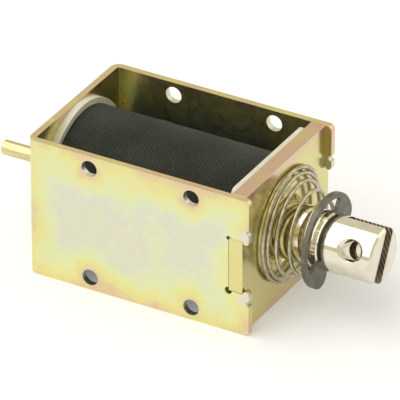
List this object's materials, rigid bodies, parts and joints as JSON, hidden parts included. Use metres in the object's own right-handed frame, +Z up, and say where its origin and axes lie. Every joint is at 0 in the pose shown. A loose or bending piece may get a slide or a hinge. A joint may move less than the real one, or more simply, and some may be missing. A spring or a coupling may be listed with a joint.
{
  "type": "push-pull solenoid",
  "caption": "Open-frame push-pull solenoid: bent steel frame, taped coil, plunger with a slotted clevis end, conical return spring, retaining clip and a push rod behind.",
  "frame": {"origin": "on the plunger's axis, at the rear plate's outer face, where the push rod comes out", "axes": "+X along the plunger's axis towards its clevis end, +Y across the side plates, +Z up"},
  "size_m": [0.1104, 0.0446, 0.039],
  "materials": {
    "zinc_sheet": "yellow zinc plated, iridescent",
    "zinc_plate": "yellow zinc plated, iridescent",
    "nylon": "moulded nylon, satin",
    "copper_wire": "enamelled copper wire",
    "cloth_tape": "woven cotton tape, matt",
    "brass_tube": "drawn brass",
    "core_steel": "turned soft iron",
    "washer_brass": "stamped brass shim",
    "nickel_steel": "bright nickel plated",
    "rod_brass": "turned brass",
    "clip_steel": "dark phosphated spring steel",
    "spring_wire": "bright spring wire"
  },
  "bodies": {
    "body": {"frame": "zinc_sheet", "front_plate": "zinc_plate", "bobbin": "nylon", "winding": "copper_wire", "tape_wrap": "cloth_tape", "guide_tube": "brass_tube", "fixed_core": "core_steel", "core_washer": "washer_brass", "return_spring": "spring_wire"},
    "clip_slide": {"retaining_clip": "clip_steel"},
    "plunger": {"plunger": "nickel_steel", "push_rod": "rod_brass"}
  },
  "joints": [
    {"name": "plunger_stroke", "type": "slide", "parent": "body", "child": "clip_slide", "axis": [-1, 0, 0], "range_m": [0, 0.01], "stiffness_N_per_m": 300, "deforming": ["return_spring"]},
    {"name": "plunger_turn", "type": "hinge", "parent": "clip_slide", "child": "plunger", "pos_m": [0.0739, 0, 0], "axis": [1, 0, 0], "continuous": true}
  ]
}
